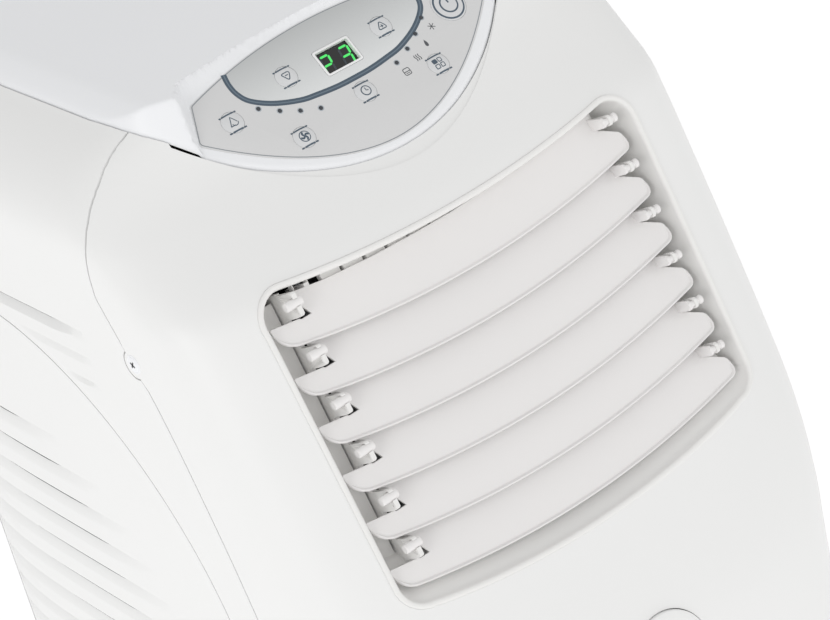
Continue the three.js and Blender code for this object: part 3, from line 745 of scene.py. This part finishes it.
def makeVane(i):
    u0 = vaneRows[i]
    half = vane["half"]
    # the first vane's rear edge follows the bow of the rim and leaves a narrow dark gap on its left half
    rear = -4.6 if i == 0 else -9.0
    rearLine = [(60, -3.0), (30, 0.2), (5, 1.3), (-20, 1.3), (-50, 0.6), (-80, -1.4)] if i == 0 else []
    lipLine = [(x, 19.6 + 11.4 * (1 - (x / half) ** 2)) for x in np.linspace(-109.5, 114.0, 70)]
    corner = [(-122.0, 10.6), (-121.5, 13.4), (-120.0, 16.2), (-117.4, 18.7), (-114.0, 20.3)]
    left = [(-104.4, rear), (-104.4, 2.3), (-100.6, 2.5), (-96.8, 9.8), (-103.4, 9.8), (-104.4, 9.1), (-121.2, 7.0), (-122.0, 7.9),
            *corner]
    rightSide = [(116.4, 19.8), (118.0, 18.6), (119.1, 16.6), (119.4, 14.2), (118.8, 10.6), (117.6, 9.0), (109.0, 4.2), (107.2, 3.6),
                 (107.2, min(rear, -8.0))]
    whole = [*left, *lipLine, *rightSide, *rearLine]
    points = []
    for p, q in zip(whole, [*whole[1:], whole[0]]):
        steps = max(1, int(math.hypot(q[0] - p[0], q[1] - p[1]) / 2.6))
        points += [(p[0] + (q[0] - p[0]) * t / steps, p[1] + (q[1] - p[1]) * t / steps) for t in range(steps)]
    ring = np.array(points)
    surface = lambda u: vane["plane"] + vane["slope"] * (u + 10)
    # the lip and the outer ends are rolled; the hidden edges are only eased
    share = np.clip((ring[:, 1] - 10.4) / 5, 0, 1)
    profile = [(1.2, -2.3), (0.4, -2.1), (0.05, -1.3), (0.0, -0.3), (0.12, 0.45), (0.45, 0.95), (0.95, 1.1), (1.35, 0.85), (1.6, 0.4),
               (1.9, 0.0)]
    rings = []
    along = np.roll(ring, -1, 0) - np.roll(ring, 1, 0)
    side = np.stack([along[:, 1], -along[:, 0]], 1)
    side /= np.maximum(np.linalg.norm(side, axis=1), 1e-6)[:, None]
    if np.dot(side[len(left) + 30], (0, 1)) < 0:
        side = -side
    for amount, h in profile:
        inward = amount * share + min(amount, 0.35) * (1 - share)
        p = ring - side * inward[:, None]
        rings.append([onOutlet(x, u0 + u, surface(u) + (h if h < 0 else h * k)) for (x, u), k in zip(p, share)])
    pieces = [loft(rings, "plate", sharp=50)]
    n0 = surface(0)
    # left ear: upright rib with a stepped head; right ear: hidden under the plate's end
    low = n0 - 1.5
    pieces.append(turned([(max(rear, -4.4) + 0.4, low), (-2.8, 0.4), (-1.2, 1.5), (0.6, 1.5), (1.4, 0.2), (1.2, low)], 1.3, -104.3, i))
    pieces.append(turned([(-4.2, low), (-2.8, 0.4), (-1.4, 1.9), (1.4, 1.9), (2.6, 0.4), (2.8, low)], 2.0, 104.6, i))
    for start, end, radius in ((-102.8, -113.2, vane["pin"]), (105, 113.4, 1.8), (112.2, 114.8, vane["pin"])):
        pieces.append(rodBetween(onOutlet(start, u0), onOutlet(end, u0), radius, "pin"))
    # lever that takes the link bar
    pieces.append(turned([(-4.5, n0 - 1.0), (4.5, n0 - 1.0), (3.4, -32.0), (-3.4, -32.0)], 3.0, -92, i, 0))
    pieces.append(rodBetween(onOutlet(-89.4, u0, -30), onOutlet(-84.6, u0, -30), 1.7, "crank"))
    obj = joined(pieces, f"vane {i + 1}")
    return place(obj, f"vane_{i + 1}", vaneWhite, "vane_white", f"vane_{i + 1}")


# bearing rail at the left ends: one tooth per vane, each with a snap slot for its pin
rail = [(-6.4, -39.0), (-6.4, -14.0)]
for i, u in enumerate(vaneRows):
    top = -5.6 if i == 0 else -3.6
    rail += [(u + top, -14.0), (u + top, 1.2), (u + top + 0.8, 2.1), (u + 6.4, 2.1), (u + 7.4, 0.6), (u + 7.8, -3.0),
             (u + 8.2, -14.5)]
rail += [(158.0, -14.5), (158.0, -39.0)]
railObj = turned(rail, 2.6, -107.8, 0, 0)
slots = []
for i, u in enumerate(vaneRows):
    slots.append(turned([(-3.0, -0.35), (5.8, -0.35), (5.8, 0.35), (-3.0, 0.35)], 8, -111, i, 0))
    slots.append(rodBetween(onOutlet(-112, u), onOutlet(-103, u), 3.0, "hole", 24, 0.01))
carve(railObj, slots)
place(railObj, "cabinet", insideWhite, "white_shell")
postLine = [(-6.0, -37.0), (-6.0, -15.0)]
for u in vaneRows:
    postLine += [(u - 2.9, -15.0), (u - 2.9, 0.9), (u - 1.8, 2.1), (u + 1.8, 2.1), (u + 2.8, 0.9), (u + 2.9, -15.0)]
postLine += [(158.0, -15.0), (158.0, -37.0)]
postRail = turned(postLine, 2.0, 108.6, 0, 0)
carve(postRail, [rodBetween(onOutlet(107, u), onOutlet(112, u), 2.0, "hole", 24, 0.01) for u in vaneRows])
place(postRail, "cabinet", insideWhite, "white_shell")
combSpots = [(-97, 0.8), (-88, 0.8), *((x, 12.2) for x in np.arange(-74, 40, 14.4))]
comb = joined([boxAt(onOutlet(x, -2.4, -15.5), (wide, 9.0, 4.0), "comb", outletTurn, 0.2) for x, wide in combSpots],
              "outlet comb")
place(comb, "cabinet", insideWhite, "white_shell")

for i in range(vane["count"]):
    makeVane(i)
print("vanes")

# dark wall behind the vanes, painted shade that makes the deep gaps between them read black, with a white flange down
# each side
chamber = boxAt(onOutlet(0, 82, -41), (206, 166, 1.2), "chamber wall", outletTurn, 0)
place(chamber, "cabinet", blackNylonAndShade, "duct_grey")
for side, tag, x, n in ((-1, "left", -114.6, -20), (1, "right", 112.5, -38)):
    flange = boxAt(onOutlet(x, 78, n), (11.6 if side < 0 else 17, 162, 1.2), f"side flange {tag}", outletTurn, 0.2)
    place(flange, "cabinet", insideWhite, "white_shell")

# key panel
# key: (x, s, radius)
keySet = {"swing": (-73.8, 19.3, 6.2), "fan": (-45.8, -5.9, 6.2), "timer": (0, 0, 6.2), "mode": (45.8, -5.9, 6.2),
          "minus": (-32.2, 27.4, 6.2), "plus": (32.2, 27.4, 6.2), "power": (74.2, 20.5, 10)}
plateTop = 0.55


def plate(outline, low, high, name, bevelWidth=0.0, holes=()):
    # flat piece on the panel; outline and holes are (x, s) rings, the top edge is rounded by stepping in
    ring = np.array(outline)
    steps = [(0, low), (0, high)]
    if bevelWidth:
        steps = [(0, low), (0, high - bevelWidth), (-0.3 * bevelWidth, high - 0.3 * bevelWidth), (-bevelWidth, high)]
    obj = loft([[onPanel(x, s, n) for x, s in grown(ring, g)] for g, n in steps], name, sharp=50)
    if holes:
        carve(obj, [panelPrism(hole, low - 3, high + 3, "hole") for hole in holes])
        tidyFaces(obj, 40)
    return obj


def circle(x, s, r, count=48):
    return [(x + r * math.cos(a), s + r * math.sin(a)) for a in turnsOf(count)]


def rounded(x0, s0, x1, s1, r, count=6):
    pts = []
    for cx, cs, start in ((x1 - r, s1 - r, 0), (x0 + r, s1 - r, 90), (x0 + r, s0 + r, 180), (x1 - r, s0 + r, 270)):
        for k in range(count + 1):
            a = math.radians(start + 90 * k / count)
            pts.append((cx + r * math.cos(a), cs + r * math.sin(a)))
    return pts


def windowShape(half, high, corner, middle=24.3):
    return rounded(-half, middle - high, half, middle + high, corner)


lens = softCorners(lensOutline(-0.6), 3.2)
keyHoles = [circle(x, s, r + 0.15) for x, s, r in keySet.values()]
windowHole = windowShape(12.2, 8.1, 1.4)
plateObj = plate(lens, -1.8, plateTop, "control panel", 0.3, [*keyHoles, windowHole])
place(plateObj, "cabinet", panelGrey, "panel_grey", "control_panel")


def printed(outline, name, material, height=0.04, slot="panel_grey", holes=(), base=plateTop):
    low = base - 0.1
    obj = plate(outline, low, low + 0.1 + height, name, 0.0, holes)
    return place(obj, "cabinet", material, slot)


def strip(path, width, closed=False):
    # outline of a ribbon of even width that follows a path of (x, s) points
    path = np.array(path, float)
    ahead = np.roll(path, -1, 0) if closed else np.vstack([path[1:], 2 * path[-1] - path[-2]])
    behind = np.roll(path, 1, 0) if closed else np.vstack([2 * path[0] - path[1], path[:-1]])
    d = ahead - behind
    side = np.stack([d[:, 1], -d[:, 0]], 1) / np.linalg.norm(d, axis=1)[:, None] * width / 2
    return path + side, path - side


def sweptRibbon(rows, closed, name):
    # a closed ribbon starts as a circle, an open one as a line of vertices; each row is extruded from the last
    bm = bmesh.new()
    count = len(rows[0])
    if closed:
        verts = bmesh.ops.create_circle(bm, cap_ends=False, radius=1, segments=count)["verts"]
    else:
        verts = [bm.verts.new((0, 0, 0)) for _ in range(count)]
        for p, q in zip(verts, verts[1:]):
            bm.edges.new((p, q))
    for v, p in zip(verts, rows[0]):
        v.co = Vector(p) * mm
    edges = list(bm.edges)
    for row in [*rows[1:], rows[0]]:
        edges, verts = nextRow(bm, edges, verts, row)
    bmesh.ops.remove_doubles(bm, verts=bm.verts, dist=1e-7)
    if not closed:
        bmesh.ops.holes_fill(bm, edges=[e for e in bm.edges if e.is_boundary], sides=8)
    bmesh.ops.recalc_face_normals(bm, faces=bm.faces)
    return newMesh(bm, name, False)


def ribbon(path, width, name, material, height=0.04, closed=False):
    a, b = strip(path, width, closed)
    corners = ((a, -0.1), (a, height), (b, height), (b, -0.1))
    rows = [[onPanel(x, s, plateTop + n) for x, s in edge] for edge, n in corners]
    return place(sweptRibbon(rows, closed, name), "cabinet", material, "panel_grey")


ribbon(softCorners(lensOutline(-1.5), 2.6), 0.5, "panel outline", outlineGrey, closed=True)

# inner field of the panel, its band, indicator lights and signs
bandHalf = [(0, 9.4), (11, 9.6), (23, 10.8), (34, 12.6), (48, 18.0), (58, 25.0), (61.6, 31.5), (62.2, 38.0), (61.0, 44.3)]


def splinePath(points, count):
    at = np.linspace(0, len(points) - 1, count)
    xs, ys = zip(*points)
    out = []
    for values in (xs, ys):
        k = np.clip(at.astype(int), 0, len(points) - 2)
        t = at - k
        v = np.array(values, float)
        before, after = v[np.clip(k - 1, 0, None)], v[np.clip(k + 2, None, len(v) - 1)]
        a, b = v[k], v[k + 1]
        out.append(0.5 * (2 * a + (b - before) * t + (2 * before - 5 * a + 4 * b - after) * t ** 2
                          + (3 * a - before - 3 * b + after) * t ** 3))
    return list(zip(*out))


bandPath = splinePath([(-x, s) for x, s in reversed(bandHalf)] + bandHalf[1:], 120)
fieldTop = [(x, 50.0 - 13.2 * (x / 88) ** 2) for x in np.linspace(60.6, -60.6, 50)]
fieldHoles = [circle(x, s, r + 0.15) for x, s, r in (keySet["minus"], keySet["plus"])] + [windowHole]

# printed field: shaded from mid grey at its top edge to near white above the band
fieldShade, tree, shader = newMaterial("printed field, shaded grey")
where = addNode(tree, "ShaderNodeTexCoord")
apart = addNode(tree, "ShaderNodeSeparateXYZ", {"Vector": where.outputs["Object"]})
run = addNode(tree, "ShaderNodeMapRange", {"Value": apart.outputs["Y"]}, in_From_Min=-0.0445, in_From_Max=-0.016)
ramp = addNode(tree, "ShaderNodeValToRGB", {"Fac": run.outputs["Result"]})
ramp.color_ramp.elements[0].color = toLinear("#e4e6e6")
ramp.color_ramp.elements[1].color = toLinear("#bdbfbf")
tree.links.new(ramp.outputs["Color"], shader.inputs["Base Color"])
fine = addNode(tree, "ShaderNodeTexNoise", {"Vector": where.outputs["Object"]}, in_Scale=900.0)
rough = addNode(tree, "ShaderNodeMapRange", {"Value": fine.outputs["Fac"]}, in_To_Min=0.36, in_To_Max=0.44)
tree.links.new(rough.outputs["Result"], shader.inputs["Roughness"])

printed([*bandPath, *fieldTop], "panel field", fieldShade, 0.03, holes=fieldHoles)
ribbon(bandPath, 3.1, "panel band", bandBlue, 0.06)
ribbon(bandPath, 0.6, "panel band line", bandMid, 0.08)

lamps = [(26.7, 5.0), (37.3, 9.0), (47.0, 14.2), (56.3, 20.6)]
lampDome = ((-0.2, 1.25), (0.15, 1.2), (0.35, 0.85), (0.42, 0.3))
for k, (ax, bs) in enumerate(lamps):
    for side, tag in ((-1, "left"), (1, "right")):
        x, s = (ax + 0.7, bs - 1.4) if side < 0 else (ax - 0.8, bs + 0.6)
        dome = loft([[onPanel(px, ps, plateTop + n) for px, ps in circle(side * x, s, r, 20)] for n, r in lampDome],
                    f"lamp {tag} {k}")
        place(dome, "cabinet", ledDark, "black_plastic")
        ribbon(circle(side * x, s, 1.55, 24), 0.35, f"lamp ring {tag} {k}", bandPale, 0.05, closed=True)
signAt = [(x + 0.9, s - 6.4) for x, s in lamps]
x, s = signAt[0]
ribbon(rounded(x - 2.0, s - 2.0, x + 2.0, s + 2.0, 0.9), 0.45, "sign tank", inkGrey, closed=True)
ribbon([(x - 1.9, s), (x + 1.9, s)], 0.45, "sign tank level", inkGrey, 0.05)
ribbon([(x - 1.2, s - 1.0), (x + 1.2, s - 1.0)], 0.35, "sign tank floor", inkGrey, 0.05)
x, s = signAt[1]
for k in (-1, 0, 1):
    wave = [(x + 1.3 * k + 0.35 * math.sin(t * 2 * math.pi), s - 1.9 + 3.8 * t) for t in np.linspace(0, 1, 14)]
    ribbon(wave, 0.5, f"sign warmth {k + 1}", inkGrey)
x, s = signAt[2]
drop = [(x + 1.35 * math.sin(a) * math.sin(a / 2) ** 1.3, s - 0.2 + 2.2 * math.cos(a)) for a in turnsOf(30)]
printed(drop[::-1], "sign drop", inkGrey)
x, s = signAt[3]
for k in range(3):
    dx, ds = (2.2 * f(math.radians(60 * k + 30)) for f in (math.cos, math.sin))
    ribbon([(x - dx, s - ds), (x + dx, s + ds)], 0.42, f"sign snow {k}", inkGrey, 0.04 + 0.01 * k)

# display: black recess with seven-segment digits on its floor
# lit diffuser: an even green glow with a faint mottle
digitGreen, tree, shader = newMaterial("lit green segment")
shader.inputs["Base Color"].default_value = toLinear("#1d6b30")
where = addNode(tree, "ShaderNodeTexCoord")
glowNoise = addNode(tree, "ShaderNodeTexNoise", {"Vector": where.outputs["Object"]}, in_Scale=700.0)
glow = addNode(tree, "ShaderNodeMapRange", {"Value": glowNoise.outputs["Fac"]}, in_To_Min=0.85, in_To_Max=1.15)
shader.inputs["Emission Color"].default_value = toLinear("#4fe06a")
tree.links.new(glow.outputs["Result"], shader.inputs["Emission Strength"])
segmentDim = mouldedPlastic("unlit segment", "#3b434b", 0.4, 0.0)  # just lighter than the recess behind it
display = {"depth": -1.7, "centre": (-0.2, 23.0), "step": 6.3, "high": 10.8, "wide": 5.6, "lean": 0.155, "bar": 1.25}

pockets = [windowShape(12.1, 8.0, 1.4), *(circle(x, s, r + 0.3) for x, s, r in keySet.values())]
carve(coverObj, [panelPrism(pocket, -9, 3, "pocket") for pocket in pockets])
tidyFaces(coverObj, 50)
recess = plate(windowShape(11.9, 7.8, 1.2), display["depth"] - 1.6, display["depth"], "display module")
place(recess, "cabinet", blackGlass, "display_black", "display_module")
frameHole = windowShape(10.7, 6.7, 0.5, 24.2)
frameWhite = mouldedPlastic("white frame lacquer", "#f4f4f4", 0.35, 0.0)  # the brightest rim on the panel
bezel = plate(windowShape(11.95, 7.85, 1.3), -1.6, plateTop + 0.35, "display frame", 0.2, [frameHole])
place(bezel, "cabinet", frameWhite, "display_black", "display_window")
liner = plate(windowShape(11.0, 7.0, 0.6, 24.2), display["depth"], -1.62, "display liner", 0.0, [frameHole])
place(liner, "cabinet", blackNylonAndShade, "display_black")


def digit(number, cx, tag):
    lit = {"2": "abged", "3": "abgcd"}[number]
    w, h, b = display["wide"] / 2, display["high"] / 2, display["bar"] / 2
    spots = {"a": ((-w, h), (w, h)), "g": ((-w, 0), (w, 0)), "d": ((-w, -h), (w, -h)), "f": ((-w, 0), (-w, h)),
             "b": ((w, 0), (w, h)), "e": ((-w, -h), (-w, 0)), "c": ((w, -h), (w, 0))}
    for key, ((x0, y0), (x1, y1)) in spots.items():
        dx, dy = x1 - x0, y1 - y0
        length = math.hypot(dx, dy)
        dx, dy = dx / length, dy / length
        k = 0.22
        pts = [(k, 0), (k + b, -b), (length - k - b, -b), (length - k, 0), (length - k - b, b), (k + b, b)]
        ring = [(x0 + p * dx - q * dy, y0 + p * dy + q * dx) for p, q in pts]
        ring = [(cx + display["centre"][0] + x + display["lean"] * y, display["centre"][1] + y) for x, y in ring]
        finish = digitGreen if key in lit else segmentDim
        printed(ring, f"segment {tag} {key}", finish, 0.06, "display_black", base=display["depth"])


digit("2", -display["step"], "tens")
digit("3", display["step"], "units")

# keys: low lacquered domes with a printed sign and a bar above and below
keyCap = {"dome": 1.25, "under": -2.2, "steps": np.array([0.985, 0.95, 0.88, 0.78, 0.66, 0.5, 0.34, 0.18, 0.06]),
          "bars": (("upper", 4.8), ("lower", -5.2)), "barWidth": 0.8, "barReach": 5.4}


def keyLift(name, x, s):
    cx, cs, r = keySet[name]
    d = min(1.0, math.hypot(x - cx, s - cs) / r)
    return plateTop + keyCap["dome"] * (1 - d * d) - 0.02


def onKey(path, name, width, tag, closed=False, lift=0.05):
    # ribbon that follows the dome
    a, b = strip(path, width, closed)
    cx, cs, _ = keySet[name]
    rows = []
    for edge, n in ((a, -0.12), (a, lift), (b, lift), (b, -0.12)):
        rows.append([onPanel(cx + x, cs + s, keyLift(name, cx + x, cs + s) + n) for x, s in edge])
    return place(sweptRibbon(rows, closed, f"ink {name} {tag}"), f"key_{name}", bandBlue, "key_silver")


def line(points, steps=6):
    out = []
    for (x0, y0), (x1, y1) in zip(points, points[1:]):
        out += [(x0 + (x1 - x0) * t, y0 + (y1 - y0) * t) for t in np.linspace(0, 1, steps, endpoint=False)]
    return out + [points[-1]]


def arc(cx, cy, r, a0, a1, count=28):
    return [(cx + r * math.cos(math.radians(a)), cy + r * math.sin(math.radians(a))) for a in np.linspace(a0, a1, count)]


for name, (cx, cs, r) in keySet.items():
    heights = [(keyCap["under"], r), (plateTop - 0.05, r)]
    heights += [(plateTop + keyCap["dome"] * (1 - (q / r) ** 2), q) for q in r * keyCap["steps"]]
    rings = [[onPanel(x, s, n) for x, s in circle(cx, cs, q)] for n, q in heights]
    cap = loft(rings, f"key cap {name}", sharp=45)
    place(cap, f"key_{name}", silverKey, "key_silver", f"key_{name}")
    if name != "power":
        for tag, off in keyCap["bars"]:
            edge = math.sqrt((r + 0.2) ** 2 - off ** 2)
            within = math.sqrt((r - 0.05) ** 2 - off ** 2)
            onKey(line([(-within, off), (within, off)], 12), name, keyCap["barWidth"], f"bar {tag}", lift=0.16)
            for side, start, end in (("left", -keyCap["barReach"], -edge), ("right", edge, keyCap["barReach"])):
                if end - start > 0.2:
                    ribbon([(cx + start, cs + off), (cx + end, cs + off)], keyCap["barWidth"], f"bar {name} {tag} {side}",
                           bandBlue, 0.1)

tri = lambda tip: softCorners([(0, 3.0 * tip), (-2.9 * tip, -2.0 * tip), (2.9 * tip, -2.0 * tip)], 1.0, 5)
for name, tip in (("plus", 1), ("minus", -1)):
    ring = tri(tip)
    dense = line([*ring, ring[0]], 4)[:-1]
    onKey(dense, name, 0.55, "triangle", closed=True)
    onKey(line([(-1.0, -0.35 * tip), (1.0, -0.35 * tip)], 4), name, 0.5, "dash", lift=0.06)
onKey(line([(0, -1.35), (0, 0.65)], 4), "plus", 0.5, "upright", lift=0.07)
onKey(arc(0, 0, 2.7, 0, 354, 48), "timer", 0.6, "face", closed=True)
onKey(line([(0, 1.7), (0, 0), (1.3, -0.35)], 4), "timer", 0.5, "hands", lift=0.06)
for k, (x, s) in enumerate(((-1.75, 1.6), (1.55, 1.6), (-1.75, -1.7), (1.55, -1.7))):
    box = rounded(x - 1.15, s - 1.15, x + 1.15, s + 1.15, 0.4, 3)
    onKey(line([*box, box[0]], 2)[:-1], "mode", 0.5, f"square {k}", closed=True)
    if k == 0:
        onKey(line([(x - 0.9, s), (x + 0.9, s)], 4), "mode", 1.8, "filled square", lift=0.06)
# swing sign: a leaning flap with an arrow arc
onKey(line([(-2.6, -2.3), (-0.2, 2.9), (2.1, -0.9)], 6), "swing", 0.5, "flap")
onKey(line([(-2.6, -2.3), (0.2, -2.3)], 4), "swing", 0.5, "base", lift=0.06)
onKey(arc(0.6, -0.6, 2.0, 200, 350, 18), "swing", 0.45, "arc", lift=0.07)
onKey(arc(0, 0, 3.0, 0, 354, 48), "fan", 0.5, "ring", closed=True)
for k in range(4):
    turn = math.radians(90 * k)
    blade = [(0.25 + 2.2 * t, 0.9 * math.sin(t * math.pi)) for t in np.linspace(0, 1, 8)]
    c, s = math.cos(turn), math.sin(turn)
    onKey([(x * c - y * s, x * s + y * c) for x, y in blade], "fan", 1.0, f"blade {k}", lift=0.06 + 0.01 * k)
onKey(arc(0, 0, 8.6, 0, 354, 72), "power", 1.0, "outer ring", closed=True)
onKey(arc(0, 0, 5.0, 118, 422, 60), "power", 0.9, "inner ring")
onKey(line([(0, 0.6), (0, 5.2)], 6), "power", 0.9, "stroke", lift=0.06)
print("panel and keys")

for form in (outer, inner, shellForm, coverPrism, fieldForm, matForm):
    bpy.data.objects.remove(form)

# the parts that stay as they are get real finishes
galvanised = metal("galvanised sheet", "#b4b8bb", 0.38, 0.05)  # pale grey metal, cloudy reflections
copperTube = metal("drawn copper tube", "#b8734a", 0.3, 0.03)  # warm red metal with long highlights
finStock = metal("aluminium fin stock", "#c9ccce", 0.34, 0.06)  # light silver grey
boardGreen = mouldedPlastic("solder mask", "#1f5a3a", 0.4, 0.02)  # dark green with a satin face
ductGrey = mouldedPlastic("grey ABS of the ducts", "#8f9396", 0.5, 0.06)  # plain mid grey, lightly grained
compressorBlack = mouldedPlastic("black enamelled steel", "#232427", 0.3, 0.03, coat=0.3)  # black with a glossy skin
finishOf = {"control_board": boardGreen, "refrigerant_pipe": copperTube, "evaporator": finStock, "condenser": finStock,
            "compressor": compressorBlack, "base_pan": galvanised, "motor_bracket": galvanised, "blower_motor": steelGrey,
            "condenser_motor": steelGrey, "blower_wheel": blackNylonAndShade, "condenser_fan": blackNylonAndShade, "bulkhead": ductGrey,
            "water_tank": ductGrey, "exhaust_duct": ductGrey, "exhaust_collar": shellWhite, "rear_panel": shellWhite,
            "rear_grille": shellWhite, "rear_filter": blackNylonAndShade, "louvre_link": ductGrey, "swing_motor": ductGrey,
            "drain_cap": blackNylonAndShade, "cord_gland": blackNylonAndShade, "front_cap": shellWhite, "top_cover": coverWhite}
for name in nodes:
    obj = bpy.data.objects.get(name)
    if obj is None or obj.type != "MESH":
        continue
    finish = finishOf.get(name, shellWhite)
    if name.startswith("caster"):
        finish = blackNylonAndShade if "fork" in name else rubberGrey
    for spot in obj.material_slots:
        spot.material = finish
    if not obj.material_slots:
        obj.data.materials.append(finish)

# floor
bm = bmesh.new()
bmesh.ops.create_grid(bm, x_segments=2, y_segments=2, size=6)
floor = newMesh(bm, "floor")
floorWhite = mouldedPlastic("pale studio floor", "#f4f4f4", 0.6)
glowing = floorWhite.node_tree.nodes["Principled BSDF"].inputs
glowing["Emission Color"].default_value, glowing["Emission Strength"].default_value = (1, 1, 1, 1), 0.35
floor.data.materials.append(floorWhite)
